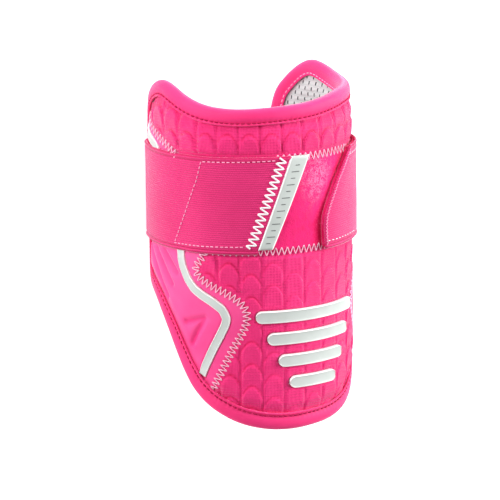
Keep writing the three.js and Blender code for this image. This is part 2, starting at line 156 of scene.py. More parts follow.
# lowest and highest height inside the edge, at an arc x
def rimTable(inset):
    line = edge + edgeIn * inset
    ends = np.roll(line, -1, axis=0)
    xs = np.linspace(line[:, 0].min() + 0.01, line[:, 0].max() - 0.01, 900)
    low, high = [], []
    for x in xs:
        over = (line[:, 0] - x) * (ends[:, 0] - x) <= 0
        share = (x - line[over, 0]) / (ends[over, 0] - line[over, 0] + 1e-9)
        heights = line[over, 1] + share * (ends[over, 1] - line[over, 1])
        low.append(heights.min())
        high.append(heights.max())
    return xs, np.array(low), np.array(high)


# the seam between front panel and wing: rise up the guard, turn away from the front line
seamRise = [-0.05, 0.08, 0.128, 0.18, 0.249, 0.293, 0.33, 0.362, 0.388, 0.412, 0.43, 0.452,
            0.478, 0.51, 0.56, 0.79, 0.822, 0.854, 0.9, 1.05]
seamTurn = [0.515, 0.485, 0.454, 0.412, 0.362, 0.321, 0.3, 0.305, 0.338, 0.4, 0.47, 0.522,
            0.536, 0.49, 0.49, 0.61, 0.69, 0.808, 0.885, 0.93]
seamHeights = np.linspace(seamRise[0], seamRise[-1], 600) * cuff["length"]
seamArcs = blur(np.interp(seamHeights / cuff["length"], seamRise, seamTurn), 14, closed=False)
seamArcs *= cuff["wrap"] * perDegree
seamTree = treeOf(np.stack([seamArcs, seamHeights], axis=1))

flashTurn = [0.935, 0.862, 0.785, 0.7, 0.63, 0.612, 0.598, 0.572, 0.54, 0.5, 0.454, 0.408,
             0.389, 0.398, 0.421, 0.454, 0.515]
flashRise = [0.868, 0.83, 0.806, 0.72, 0.6, 0.515, 0.475, 0.44, 0.414, 0.397, 0.381, 0.36,
             0.333, 0.313, 0.282, 0.24, 0.155]
flashLine = evenly(np.stack([
    np.array(flashTurn) * cuff["wrap"] * perDegree,
    np.array(flashRise) * cuff["length"],
], axis=1), 0.5)
flashLine = np.stack([blur(flashLine[:, k], 5, closed=False) for k in range(2)], axis=1)
flashLine = flashLine[:-3]
flashTree = treeOf(flashLine)

rib = {
    "count": 4,
    "height": 6.6,
    "pitch": 12.0,
    "top": 62.5,
    "longest": 66.0,
    "shorter": 12.0,          # each rib than the one above it
    "proud": 1.5,
    "depth": 0.8,
    "facet": 0.86,            # the flat between its raised rims
    "grid": 0.8,
    "bendFrom": 0.18,         # its round ends, in radians and points
    "bendPoints": 9,
}
ribs = [(rib["top"] - i * rib["pitch"], rib["longest"] - i * rib["shorter"])
        for i in range(rib["count"])]

liner = {
    "columns": 190,
    "rows": 150,
    "hole": (4.8, 3.0),       # pitch of the perforation, across and along
    "ripple": 0.12,
    "rippleFrom": (10, 16),   # distances from the edge over which it sets in
    "arc": 0.86,              # its arc for one of the cover's, by its smaller radius
    "backGap": 0.1,
}


def awayFromRibs(x, y):
    nearest = np.full(np.shape(x), 99.0)
    for height, length in ribs:
        past = np.maximum(np.abs(x) - (length - rib["height"]) / 2, 0)
        nearest = np.minimum(nearest, np.hypot(past, y - height) - rib["height"] / 2)
    return nearest


def swollen(x, y):
    return ease(*cuff["swell"], awayFrom(edgeTree, x, y))


def coverRadius(x, y):
    return radius - cuff["coverSink"] * (1 - swollen(x, y))


# colours are given as on screen, 0 to 255
def paint(red, green, blue):
    parts = [part / 255 for part in (red, green, blue)]
    return (*[part / 12.92 if part <= 0.04045 else ((part + 0.055) / 1.055) ** 2.4 for part in parts], 1)


class Wire:                       # one output of a material; sums on it add Math nodes
    def __init__(self, finish, socket):
        self.finish, self.socket = finish, socket

    def sum(self, operation, *values):
        inputs = dict(enumerate(values))
        return self.finish.node("Math", {"operation": operation}, inputs)

    def __add__(self, other): return self.sum("ADD", self, other)
    def __radd__(self, other): return self.sum("ADD", other, self)
    def __sub__(self, other): return self.sum("SUBTRACT", self, other)
    def __rsub__(self, other): return self.sum("SUBTRACT", other, self)
    def __mul__(self, other): return self.sum("MULTIPLY", self, other)
    def __truediv__(self, other): return self.sum("DIVIDE", self, other)
    def __mod__(self, other): return self.sum("FLOORED_MODULO", self, other)
    def __abs__(self): return self.sum("ABSOLUTE", self)
    def floor(self): return self.sum("FLOOR", self)
    def part(self): return self.sum("FRACT", self)
    def wave(self, pitch): return self.sum("SINE", self * (2 * math.pi / pitch)) * 0.5 + 0.5
    def least(self, other): return self.sum("MINIMUM", self, other)
    def most(self, other): return self.sum("MAXIMUM", self, other)

    def within(self, low, high):      # 1 below low, 0 above high
        settings = {"interpolation_type": "SMOOTHSTEP"}
        inputs = {"Value": self, "From Min": low, "From Max": high, "To Min": 1, "To Max": 0}
        return self.finish.node("MapRange", settings, inputs)


class Finish:
    def __init__(self, name, roughness, sheen=0.0, sheenTint=(1, 1, 1, 1), specular=0.5):
        self.material = bpy.data.materials.new(name)
        self.material.use_nodes = True
        self.tree = self.material.node_tree
        self.shader = self.tree.nodes["Principled BSDF"]
        constants = {"Roughness": roughness, "Sheen Weight": sheen, "Sheen Tint": sheenTint,
                     "Sheen Roughness": 0.35, "Specular IOR Level": specular}
        for socket, value in constants.items():
            self.shader.inputs[socket].default_value = value

    def node(self, kind, settings=None, inputs=None, output=0):
        made = self.tree.nodes.new("ShaderNode" + kind)
        for key, value in (settings or {}).items():
            setattr(made, key, value)
        for key, value in (inputs or {}).items():
            if isinstance(value, Wire):
                self.tree.links.new(value.socket, made.inputs[key])
            else:
                made.inputs[key].default_value = value
        return Wire(self, made.outputs[output])

    def blend(self, share, first, second):
        inputs = {0: share, 6: first, 7: second}
        return self.node("Mix", {"data_type": "RGBA"}, inputs, output=2)

    def cloth(self):                  # millimetres across and along the piece
        spot = self.node("UVMap", {"uv_map": "cloth"})
        return [self.node("SeparateXYZ", {}, {0: spot}, output=k) for k in range(2)]

    def paintedShadeAndWear(self):                 # painted shade and wear, the share a piece's rule gives each point
        return self.node("Attribute", {"attribute_name": "paintedShadeAndWear"}, {}, output=2)

    def noise(self, scale, detail=3.0, rough=0.5):
        spot = self.node("TexCoord", {}, {}, output=3)       # Object coordinates
        inputs = {"Vector": spot, "Scale": scale, "Detail": detail, "Roughness": rough}
        return self.node("TexNoise", {}, inputs)

    def color(self, value):
        self.give("Base Color", value)

    def shades(self, share, light, deep):
        self.color(self.blend(share, paint(*light), paint(*deep)))

    def give(self, socket, value):
        if isinstance(value, Wire):
            self.tree.links.new(value.socket, self.shader.inputs[socket])
        else:
            self.shader.inputs[socket].default_value = value

    def relief(self, height, depth):  # depth in millimetres for a height of 1
        bump = self.node("Bump", {}, {"Height": height, "Distance": depth * mm, "Strength": 1.0})
        self.tree.links.new(bump.socket, self.shader.inputs["Normal"])


pinkSheen = (1.0, 0.76, 0.98, 1)


# pitches of the weaves are in millimetres
def knitFinish():
    look = {"light": (251, 50, 130), "deep": (218, 4, 76), "lineDark": 0.2,
            "rib": 0.78, "loop": 0.62, "course": 1.5, "relief": 0.24}
    finish = Finish("embossedKnit", 0.72, sheen=0.9, sheenTint=pinkSheen, specular=0.2)
    x, y = finish.cloth()
    ridge = x.wave(look["rib"])
    loops = (y + x * 0.5).wave(look["loop"])
    patches = finish.noise(90)
    # painted shade along the lobes' edges and channels, with the knit's own lines and patches
    share = (1 - finish.paintedShadeAndWear()) * 0.7 + (1 - ridge) * look["lineDark"] + (patches - 0.5) * 0.3
    finish.shades(share, look["light"], look["deep"])
    finish.give("Roughness", 0.66 + ridge * 0.12)
    weave = ridge * 0.7 + loops * 0.2 + y.wave(look["course"]) * 0.5
    finish.relief(weave + finish.noise(2600, 2) * 0.4, look["relief"])
    return finish.material


def stretchFinish():
    look = {"light": (252, 88, 156), "deep": (243, 50, 130), "grain": 0.55, "row": 0.9,
            "shadeBelow": 78, "shadeRate": 0.009, "relief": 0.07}
    finish = Finish("stretchFabric", 0.6, sheen=0.6, sheenTint=pinkSheen, specular=0.25)
    x, y = finish.cloth()
    grain = (x + y * 0.35).wave(look["grain"])
    rows = (y - x * 0.2).wave(look["row"])
    patches = finish.noise(70)
    # painted shade in the wing's grooves darkens the cloth
    share = (patches - 0.35) * 0.8 + (1 - grain) * 0.18 + (1 - finish.paintedShadeAndWear()) * 0.45
    # painted shade: the wing gets darker towards its low end
    share = share + (look["shadeBelow"] - y) * look["shadeRate"]
    finish.shades(share, look["light"], look["deep"])
    finish.give("Roughness", 0.56 + grain * 0.1)
    finish.relief(grain * 0.6 + rows * 0.3 + finish.noise(2200, 2) * 0.3, look["relief"])
    return finish.material


def tapeFinish():
    look = {"light": (248, 56, 130), "deep": (236, 26, 102), "grain": 0.6, "relief": 0.06}
    finish = Finish("bindingTape", 0.58, sheen=0.6, sheenTint=pinkSheen, specular=0.25)
    along, across = finish.cloth()
    grain = (along + across * 0.6).wave(look["grain"])
    ribbing = (along - across * 0.6).wave(look["grain"])
    patches = finish.noise(60)
    share = (patches - 0.3) * 0.8 + (1 - grain * ribbing) * 0.14
    finish.shades(share, look["light"], look["deep"])
    finish.give("Roughness", 0.52 + grain * 0.12)
    finish.relief(grain * 0.5 + ribbing * 0.5, look["relief"])
    return finish.material


def elasticFinish():
    look = {"light": (240, 54, 130), "deep": (194, 18, 84), "rib": 1.15, "pick": 0.9,
            "edgeLines": (0.5, 2.3), "relief": 0.24}
    finish = Finish("wovenElastic", 0.66, sheen=0.8, sheenTint=pinkSheen, specular=0.2)
    along, across = finish.cloth()
    ribbing = across.wave(look["rib"])
    row = (across / look["rib"]).floor() % 2
    picks = (along + row * 0.45).wave(look["pick"])
    patches = finish.noise(45)
    share = (1 - ribbing) * 0.55 + (1 - picks) * 0.22 + (patches - 0.5) * 0.35
    lines = [strapLow + inset for inset in look["edgeLines"]]
    lines += [strapHigh - inset for inset in look["edgeLines"]]
    for line in lines:
        share = share + abs(across - line).within(0.1, 0.55) * 0.6
    finish.shades(share, look["light"], look["deep"])
    finish.give("Roughness", 0.6 + ribbing * 0.12)
    finish.relief(ribbing * 0.7 + picks * 0.35, look["relief"])
    return finish.material


# the shade-and-wear value is above 0 where the pile is rubbed, and below 0 where a painted shadow lies
# past the strap's cut end
def pileFinish():
    look = {"light": (247, 44, 122), "deep": (214, 2, 74), "fuzz": (255, 150, 196), "relief": 0.55}
    finish = Finish("loopPile", 0.95, sheen=0.5, sheenTint=pinkSheen, specular=0.1)
    tufts = finish.noise(1500, 3, 0.7)
    clumps = finish.noise(320, 4, 0.65)
    brushed = finish.noise(60, 2)
    share = (tufts - 0.35) * 0.9 + (clumps - 0.5) * 1.1 + (brushed - 0.5) * 0.8
    # above 0 this is wear, shown as pale fuzz; below 0 it is painted shadow past the strap's cut end
    worn = finish.paintedShadeAndWear()
    fuzz = (worn * ((tufts - 0.42) * 4 + (clumps - 0.5) * 3)).most(0).least(0.6)
    plain = finish.blend(share - worn.least(0) * 1.8, paint(*look["light"]), paint(*look["deep"]))
    finish.color(finish.blend(fuzz, plain, paint(*look["fuzz"])))
    finish.relief(tufts * 0.5 + clumps * 0.7, look["relief"])
    return finish.material


def liningFinish():
    look = {"face": (206, 208, 208), "shade": (164, 167, 168), "hole": (66, 70, 72), "relief": 0.55}
    acrossPitch, alongPitch = liner["hole"]
    finish = Finish("perforatedMesh", 0.82, sheen=0.25, specular=0.25)
    x, y = finish.cloth()
    row = (y / alongPitch).floor() % 2
    acrossHole = abs((x / acrossPitch + row * 0.5).part() - 0.5) * acrossPitch
    alongHole = abs((y / alongPitch).part() - 0.5) * alongPitch
    hole = acrossHole.within(0.3, 0.48) * alongHole.within(0.75, 1.05)
    ridge = (1 - alongHole.within(0.2, 1.5)) * 0.6 + (acrossHole / (acrossPitch / 2)) * 0.4
    knit = x.wave(0.7) * y.wave(0.6)
    cloth = finish.blend(ridge * 0.45 + knit * 0.2, paint(*look["face"]), paint(*look["shade"]))
    # painted shade in the perforation holes
    finish.color(finish.blend(hole, cloth, paint(*look["hole"])))
    finish.relief(1 - hole - ridge * 0.35 + knit * 0.15, look["relief"])
    return finish.material


def mouldedFinish():
    look = {"rim": (246, 248, 247), "face": (190, 198, 193), "wear": (206, 211, 208)}
    finish = Finish("mouldedRubber", 0.36, specular=0.5)
    along, across = finish.cloth()
    inner = abs(across).within(0.8, 0.86)
    patches = finish.noise(160, 4)
    face = finish.blend(patches, paint(*look["face"]), paint(*look["wear"]))
    finish.color(finish.blend(inner, paint(*look["rim"]), face))
    finish.give("Roughness", 0.3 + patches * 0.18)
    finish.relief(finish.noise(1800, 2), 0.02)
    return finish.material


def threadFinish(name, light, deep):
    finish = Finish(name, 0.55, sheen=0.05, specular=0.2)
    twist = finish.noise(3200, 2)
    finish.shades(twist, light, deep)
    finish.relief(twist, 0.06)
    return finish.material


def inkFinish(name, light, deep):
    finish = Finish(name, 0.6, specular=0.3)
    patches = finish.noise(400, 3)
    finish.shades(patches, light, deep)
    finish.relief(patches, 0.03)
    return finish.material


finishes = {
    "knit": knitFinish(),
    "stretch": stretchFinish(),
    "tape": tapeFinish(),
    "elastic": elasticFinish(),
    "pile": pileFinish(),
    "mesh": liningFinish(),
    "rubber": mouldedFinish(),
    "paleThread": threadFinish("paleThread", (254, 212, 231), (248, 182, 212)),
    "whiteThread": threadFinish("whiteThread", (255, 252, 253), (240, 226, 233)),
    "pinkThread": threadFinish("pinkThread", (255, 184, 214), (248, 146, 190)),
    "deepThread": threadFinish("deepThread", (198, 8, 84), (166, 2, 62)),
    "ink": inkFinish("labelMarks", (96, 100, 100), (78, 82, 82)),
}
print("finishes made:", len(finishes))


def pieceFrom(mesh, name, finish, stands=()):
    data = bpy.data.meshes.new(name)
    mesh.to_mesh(data)
    mesh.free()
    return pieceOf(data, name, finish, stands)


def pieceOf(data, name, finish, stands=()):
    data.materials.clear()
    data.materials.append(finishes[finish])
    data.shade_smooth()
    piece = bpy.data.objects.new(name, data)
    bpy.context.scene.collection.objects.link(piece)
    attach(piece, "root")
    if stands:
        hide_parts(*stands)
    print("made", name, len(data.polygons), "faces")
    return piece


# a grid whose points and cloth map come from a rule on (0..1, 0..1)
def clothGrid(columns, rows, rule):
    mesh = bmesh.new()
    bmesh.ops.create_grid(mesh, x_segments=columns, y_segments=rows, size=1)
    spots = np.array([tuple(vert.co) for vert in mesh.verts])
    u, v = (spots[:, 0] + 1) / 2, (spots[:, 1] + 1) / 2
    points, flat, paintedShadeAndWear = rule(u, v)
    # this layer carries painted shade and wear, which the finishes read
    lift = mesh.verts.layers.float.new("paintedShadeAndWear")
    for vert, point, share in zip(mesh.verts, points, np.broadcast_to(paintedShadeAndWear, len(points))):
        vert.co = point
        vert[lift] = share
    mesh.verts.index_update()
    cloth = mesh.loops.layers.uv.new("cloth")
    for face in mesh.faces:
        for loop in face.loops:
            loop[cloth].uv = flat[loop.vert.index]
    return mesh


# closes a grid into a wall, its back set by a rule on the front's points
def giveWall(mesh, back):
    made = bmesh.ops.extrude_face_region(mesh, geom=mesh.faces[:], use_keep_orig=True)
    behind = [item for item in made["geom"] if isinstance(item, bmesh.types.BMVert)]
    moved = back(np.array([tuple(vert.co) for vert in behind]))
    for vert, point in zip(behind, moved):
        vert.co = point
    bmesh.ops.recalc_face_normals(mesh, faces=mesh.faces[:])


def linerRadius(x, y):
    full = radius - cuff["wall"] + cuff["lining"] + cuff["fit"]
    edgeFull = (radius - cuff["edgeInset"] - cuff["edgeThickness"] + cuff["edgeWall"]
                + cuff["lining"] + cuff["fit"])
    return edgeFull + (full - edgeFull) * swollen(x, y)


def coverBack(points):
    x, y, _ = flatten(points)
    return placeAll(x, y, linerRadius(x, y))


rimX, rimLow, rimHigh = rimTable(cuff["coverInset"])


# where a column that leans with the height meets the low and the high rim
def columnSpan(lean, side):
    start, halvings = cuff["length"] * 0.62, 12

    def inside(height):
        x = side * lean(height)
        return np.interp(x, rimX, rimLow) < height < np.interp(x, rimX, rimHigh)

    ends = []
    for way in (-1, 1):
        height = start
        while inside(height + way):
            height += way
        near, far = height, height + way
        for _ in range(halvings):
            half = (near + far) / 2
            near, far = (half, far) if inside(half) else (near, half)
        ends.append(near)
    return ends


# gives the x and y of a cover's grid, whose columns run from rim to rim
def coverGrid(columns, lean, side=1):
    spans = np.array([columnSpan(lambda height: lean(k / columns, height), side)
                      for k in range(columns + 1)])

    def spots(u, v):
        low, high = spans[np.rint(u * columns).astype(int)].T
        y = low + v * (high - low)
        return lean(u, y), y

    return spots


def seamAt(height):
    return np.interp(height, seamHeights, seamArcs)


# rounded lobes stacked in columns; below the strap, every other column drops half a row
emboss = {
    "pitch": 11.8,
    "row": 12.1,
    "lowTop": 91.8,           # a lobe's top, below and above the strap
    "highTop": 160.3,
    "arch": 0.42,             # how far a lobe's shoulders drop, in rows
    "archPower": 2.2,
    "width": 0.88,            # lobe's share of its column
    "sideSoft": (0.12, 0.08),
    "rise": 0.1,
    "fade": 0.75,             # how far a lobe sinks again down its row
    "fadeOver": (0.12, 1.0),
    "ground": 0.2,
    "channel": 0.12,
    "channelWidth": 0.06,
    "channelShade": (0.6, 0.3),    # painted shade in the channels, above the strap and below it
    "shadeLineWidth": (0.05, 0.06),    # painted shade lines below and above a lobe's top, their widths in rows
    "depth": 1.4,
    "top": 0.45,
}


# height of the relief from 0 to 1, and how much painted shade shows along the lobes' edges and in the
# channels
def lobeRelief(x, y):
    column = np.floor(x / emboss["pitch"] + 0.5)
    side = np.abs(2 * (x / emboss["pitch"] - column))
    above = y > strapMiddle
    top = np.where(above, emboss["highTop"], emboss["lowTop"] + 0.5 * emboss["row"] * (column % 2))
    shoulder = np.minimum(side / emboss["width"], 1) ** emboss["archPower"]
    down = (top - y) / emboss["row"] - emboss["arch"] * shoulder
    share = down - np.floor(down)
    inner, outer = emboss["sideSoft"]
    mask = 1 - ease(emboss["width"] - inner, emboss["width"] + outer, side)
    fading = 1 - emboss["fade"] * ease(*emboss["fadeOver"], share)
    lobe = ease(0, emboss["rise"], share) * fading * mask
    channel = np.exp(-((1 - side) / emboss["channelWidth"]) ** 2)
    below, over = emboss["shadeLineWidth"]
    lines = (np.exp(-(share / below) ** 2) + np.exp(-((1 - share) / over) ** 2)) * mask
    lines += np.where(above, *emboss["channelShade"]) * channel
    height = emboss["ground"] + (1 - emboss["ground"]) * lobe - emboss["channel"] * channel
    return np.clip(height, 0, 1), np.clip(lines, 0, 1)


# how far seams, the strap and the seats of ribs and flashes press a cover down
press = {
    "seam": 0.55,
    "seamReach": (0.2, 2.4),
    "strap": 0.8,
    "seat": 1.2,
}


def underStrap(y, reach=1.5, margin=1):
    low, high = strapLow - margin, strapHigh + margin
    return ease(low - reach, low, y) * (1 - ease(high, high + reach, y))


def pressedDown(seamGap, flat):
    return press["seam"] * (1 - ease(*press["seamReach"], seamGap)) + press["strap"] * (1 - flat)


def seatDown(gap, reach):
    return press["seat"] * (1 - ease(*reach, gap))


front = {
    "columns": 196,
    "rows": 210,
    "seamFade": (1.5, 5),     # the relief sets in over these distances from seams and ribs
    "ribFade": (0.2, 2.5),
    "worn": 0.58,             # what is left of it low down in the middle
    "wornGain": 0.42,
    "wornSides": (14, 40),
    "ribSeat": (0.25, 0.9),
}


def frontCover():
    def lean(u, height):
        return (2 * u - 1) * (seamAt(height) - cuff["seamSlit"])

    spots = coverGrid(front["columns"], lean)

    def rule(u, v):
        x, y = spots(u, v)
        lobes, lines = lobeRelief(x, y)
        seamGap = awayFrom(seamTree, np.abs(x), y)
        ribGap = awayFromRibs(x, y)
        flat = 1 - underStrap(y)
        quiet = ease(*front["seamFade"], seamGap) * ease(*front["ribFade"], ribGap) * flat
        fresh = np.maximum(ease(*front["wornSides"], np.abs(x)), ease(strapMiddle, strapHigh, y))
        worn = front["worn"] + front["wornGain"] * fresh
        out = coverRadius(x, y) - (emboss["depth"] * (1 - lobes) - emboss["top"]) * quiet * worn
        out -= pressedDown(seamGap, flat)
        out -= seatDown(ribGap, front["ribSeat"])
        # the third value is 1 less the painted shade along the lobes' edges and channels
        return placeAll(x, y, out), np.stack([x, y], axis=1), 1 - lines * quiet * worn ** 2

    mesh = clothGrid(front["columns"], front["rows"], rule)
    giveWall(mesh, coverBack)
    piece = pieceFrom(mesh, "front_cover", "knit", ["front_panel"])


wing = {
    "columns": 120,
    "rows": 200,
    "freeGap": 0.02,
    "grooveWidth": 1.7,
    "grooveDepth": 1.7,
    "puff": 0.35,
    "puffFrom": (14, 24),     # distances from the edge over which it sets in
    "flashSeat": (2.2, 2.9),
}
# grooves: turn and height of one end, turn and height of the other
grooves = [(116, 97, 92, 70), (107, 98, 87, 77), (98, 98, 83, 84), (76, 58, 64, 61), (64, 61, 72, 47)]


def grooveLines():
    lines = []
    for fromTurn, fromHeight, toTurn, toHeight in grooves:
        ends = np.array([[fromTurn * perDegree, fromHeight], [toTurn * perDegree, toHeight]])
        lines.append(evenly(ends, 0.5))
    return treeOf(np.vstack(lines))


grooveTree = grooveLines()


def wingCover(side, name, stands):
    free = min(-rimX[0], rimX[-1]) - wing["freeGap"]

    def lean(u, height):
        near = seamAt(height) + cuff["seamSlit"]
        return near + (free - near) * u

    spots = coverGrid(wing["columns"], lean, side)

    def rule(u, v):
        x, y = spots(u, v)
        seamGap = awayFrom(seamTree, x, y)
        flashGap = awayFrom(flashTree, x, y)
        edgeGap = awayFrom(edgeTree, side * x, y)
        crease = np.exp(-(awayFrom(grooveTree, x, y) / wing["grooveWidth"]) ** 2)
        flat = 1 - underStrap(y)
        puff = wing["puff"] * np.sin(x * 0.13 + y * 0.05) * np.sin(y * 0.11 - 0.6)
        puff *= ease(*wing["puffFrom"], edgeGap)
        out = coverRadius(side * x, y) + puff * flat - wing["grooveDepth"] * crease * flat
        out -= pressedDown(seamGap, flat)
        out -= seatDown(flashGap, wing["flashSeat"])
        # the third value is 1 less the painted shade in the grooves
        return placeAll(side * x, y, out), np.stack([x, y], axis=1), 1 - crease

    mesh = clothGrid(wing["columns"], wing["rows"], rule)
    giveWall(mesh, coverBack)
    piece = pieceFrom(mesh, name, "stretch", stands)


frontCover()
wingCover(-1, "left_wing_cover", ["left_wing"])
wingCover(1, "right_wing_cover", ["right_wing"])


# tape over the edge: depth in from the edge, lift from the middle of the edge's thickness
binding = {
    "stitchPitch": 2.9,
    "stitchDepth": 7.8,
    "stitchReach": 1.6,
    "narrowFrom": 3.3,        # the flaps are drawn in beyond this depth
    "topNarrow": 1.7,         # tape's outer flap is this much narrower along the top
    "topHeights": (110, 150),
    "insideWidth": 0.8,
    "pucker": 0.12,
    "threads": {"outer": (1, 0.78, "deepThread"), "inner": (-1, 0.6, "pinkThread")},
    "threadStep": 0.35,
    "threadLift": -0.1,
    "threadBow": (-0.35, 0.05, 0.12, 0.12, 0.05, -0.35),
}


def bindingProfile():
    half = cuff["edgeThickness"] / 2
    outside = [(8.2, -0.9), (9.0, -1.1), (9.5, -0.7), (9.6, -0.1), (9.4, 0.2), (9.0, 0.3), (8.6, 0.15),
               (8.2, -0.2), (7.8, -0.42), (7.3, -0.3), (6.4, 0.02), (5.0, 0.24), (3.6, 0.16)]
    inside = [(3.0, 0.05), (4.4, 0.12), (5.8, 0.05), (7.0, -0.2), (7.8, -0.05), (8.6, 0.18),
              (9.4, 0.1), (9.6, -0.4), (9.2, -0.9)]
    closing = [(8.0, -1.2), (4.2, -1.3), (3.6, -1.1)]
    profile = [(depth, half + lift) for depth, lift in outside]
    for turn in range(15, 180, 15):       # the fold round the edge
        angle = math.radians(turn)
        profile.append((half * (1 - math.sin(angle) * 1.04) * 0.92, half * math.cos(angle) * 1.02))
    profile += [(depth, -(half + lift)) for depth, lift in inside + closing]
    profile += [(depth, half + lift) for depth, lift in reversed(closing)]
    return np.array(profile)


# depth in from the edge, drawn in along the top rim outside and everywhere inside
def narrowed(depth, lift, y):
    start = binding["narrowFrom"]
    top = binding["topNarrow"] * ease(*binding["topHeights"], y)
    width = np.where(lift > 0, 1 - top / cuff["tapeWidth"], binding["insideWidth"])
    return np.where(depth > start, start + (depth - start) * width, depth)


def edgeTape():
    profile = bindingProfile()
    rings, points = len(edge), len(profile)
    steps = np.diff(np.vstack([profile, profile[:1]]), axis=0)
    girth = np.concatenate([[0], np.cumsum(np.hypot(*steps.T))])

    def rule(u, v):
        i = np.rint(u * rings).astype(int)
        j = np.rint(v * points).astype(int)
        along = i * cuff["edgeStep"]
        depth, lift = profile[j % points].T
        sewn = np.exp(-((depth - binding["stitchDepth"]) / binding["stitchReach"]) ** 2) * (lift > 0)
        depth = narrowed(depth, lift, edge[i % rings, 1])
        lift = lift - binding["pucker"] * sewn * np.cos(along * 2 * np.pi / binding["stitchPitch"])
        spot = edge[i % rings] + edgeIn[i % rings] * depth[:, None]
        points3 = placeAll(spot[:, 0], spot[:, 1], cuff["edgeMiddle"] + lift)
        return points3, np.stack([along, girth[j]], axis=1), 1.0

    mesh = clothGrid(rings, points, rule)
    bmesh.ops.remove_doubles(mesh, verts=mesh.verts[:], dist=0.02 * mm)
    bmesh.ops.recalc_face_normals(mesh, faces=mesh.faces[:])
    pieceFrom(mesh, "edge_tape", "tape", ["edge_binding"])


edgeTape()


def liningSheet():
    lineX, lineLow, lineHigh = rimTable(cuff["coverInset"])

    def face(x, y):
        return linerRadius(x, y) - cuff["fit"] - cuff["lining"]

    def rule(u, v):
        x = lineX[0] + u * (lineX[-1] - lineX[0])
        low, high = np.interp(x, lineX, lineLow), np.interp(x, lineX, lineHigh)
        y = low + v * (high - low)
        ripple = liner["ripple"] * np.cos(y * 2 * np.pi / liner["hole"][1])
        ripple *= ease(*liner["rippleFrom"], awayFrom(edgeTree, x, y))
        return placeAll(x, y, face(x, y) + ripple), np.stack([x * liner["arc"], y], axis=1), 1.0

    def back(points):
        x, y, _ = flatten(points)
        return placeAll(x, y, face(x, y) + cuff["lining"] - liner["backGap"])

    mesh = clothGrid(liner["columns"], liner["rows"], rule)
    giveWall(mesh, back)
    piece = pieceFrom(mesh, "lining_sheet", "mesh", ["mesh_lining"])
    width, height = (lineX[-1] - lineX[0]) * liner["arc"] * mm, cuff["length"] * mm
    area = float((lineHigh - lineLow).mean()) * mm * width
    print("lining cut", round(width, 3), round(height, 3), "area", round(area, 4))


liningSheet()


strap = {
    "thickness": 0.92,
    "rows": 62,
    "step": 0.95,
    "fixedAngle": -24.5,
    "hookAngle": 20.5,
    "slant": 19.0,
    "turnStep": 0.5,
    "rayEnd": 0.4,
    "past": 40,               # turn steps that its line runs on past each end
    "pull": 0.6,              # drawn in on the padding, past the solid's own line
    "pullTurns": (118, 128),
    "tuck": 1.0,              # how far the fixed end goes in under the label
    "cutDip": 0.35,
    "cutReach": 0.5,
    "wobble": 0.1,
    "backGap": 0.02,
    "hookRise": 1.0,          # the hook patch lifts the strap's end
    "hookRiseOver": (2, 22),
}
# the woven edge: rise, distance in from the edge, width
selvedge = [(-0.5, 0, 0.4), (0.25, 1.1, 0.5), (-0.4, 2.3, 0.45)]
# the hook end's cut: share of the strap's width, shift round the guard
hookCut = [(0, -14.0), (0.1, -14.5), (0.25, -14.8), (0.35, -14.0), (0.45, -11.8), (0.55, -9.0),
           (0.69, -4.8), (0.85, 2.0), (1, 9.5)]


# the strap's inner line round the guard, by rays from the axis; turn runs on past the back
def strapLine():
    data = nodes["elastic_strap"].data
    faces = [tuple(face.vertices) for face in data.polygons]
    tree = BVHTree.FromPolygons([vert.co[:] for vert in data.vertices], faces)
    start = Vector((0, cuff["foot"] + strapMiddle, cuff["axis"])) * mm
    step, past = strap["turnStep"], strap["past"]
    turns = np.arange(-360 + strap["hookAngle"] + step, strap["fixedAngle"] - strap["rayEnd"], step)
    found = []
    for turn in turns:
        angle = math.radians(turn)
        hit = tree.ray_cast(start, Vector((math.sin(angle), 0, math.cos(angle))))
        found.append(hit[3] / mm)
    before = turns[0] - np.arange(past, 0, -1) * step
    after = turns[-1] + np.arange(1, past + 1) * step
    turns = np.concatenate([before, turns, after])
    found = np.pad(found, past, mode="edge")
    found = blur(blur(found, 5, closed=False), 5, closed=False)
    found -= strap["pull"] * (1 - ease(*strap["pullTurns"], np.minimum(-turns, 360 + turns)))
    angle = np.radians(turns)
    return turns, np.stack([found * np.sin(angle), found * np.cos(angle)], axis=1)


strapTurns, strapSpots = strapLine()
strapReached = np.concatenate([[0], np.cumsum(np.hypot(*np.diff(strapSpots, axis=0).T))])
strapWay = np.gradient(strapSpots, axis=0)
strapWay /= np.hypot(*strapWay.T)[:, None]
strapOut = np.stack([-strapWay[:, 1], strapWay[:, 0]], axis=1)
if (strapOut * strapSpots).sum() < 0:
    strapOut = -strapOut


def slantShift(y):
    return strap["slant"] * (y - strapMiddle) / (strapHigh - strapLow)


def hookShift(y):
    return np.interp((y - strapLow) / (strapHigh - strapLow), *zip(*hookCut))


def hookLift(past, y):
    return strap["hookRise"] * (1 - ease(*strap["hookRiseOver"], past - hookShift(y)))


# a point on the strap: run along its line, height, distance out from its inner face
def onStrap(run, y, out):
    spot = np.stack([np.interp(run, strapReached, strapSpots[:, k]) for k in range(2)], axis=1)
    way = np.stack([np.interp(run, strapReached, strapOut[:, k]) for k in range(2)], axis=1)
    spot = spot + way * np.asarray(out).reshape(-1, 1)
    return np.stack([spot[:, 0], cuff["foot"] + y, cuff["axis"] + spot[:, 1]], axis=1) * mm


def runAtTurn(turn):
    return np.interp(turn, strapTurns, strapReached)


fixedRun = float(runAtTurn(strap["fixedAngle"]))
hookRun = float(runAtTurn(strap["hookAngle"] - 360))


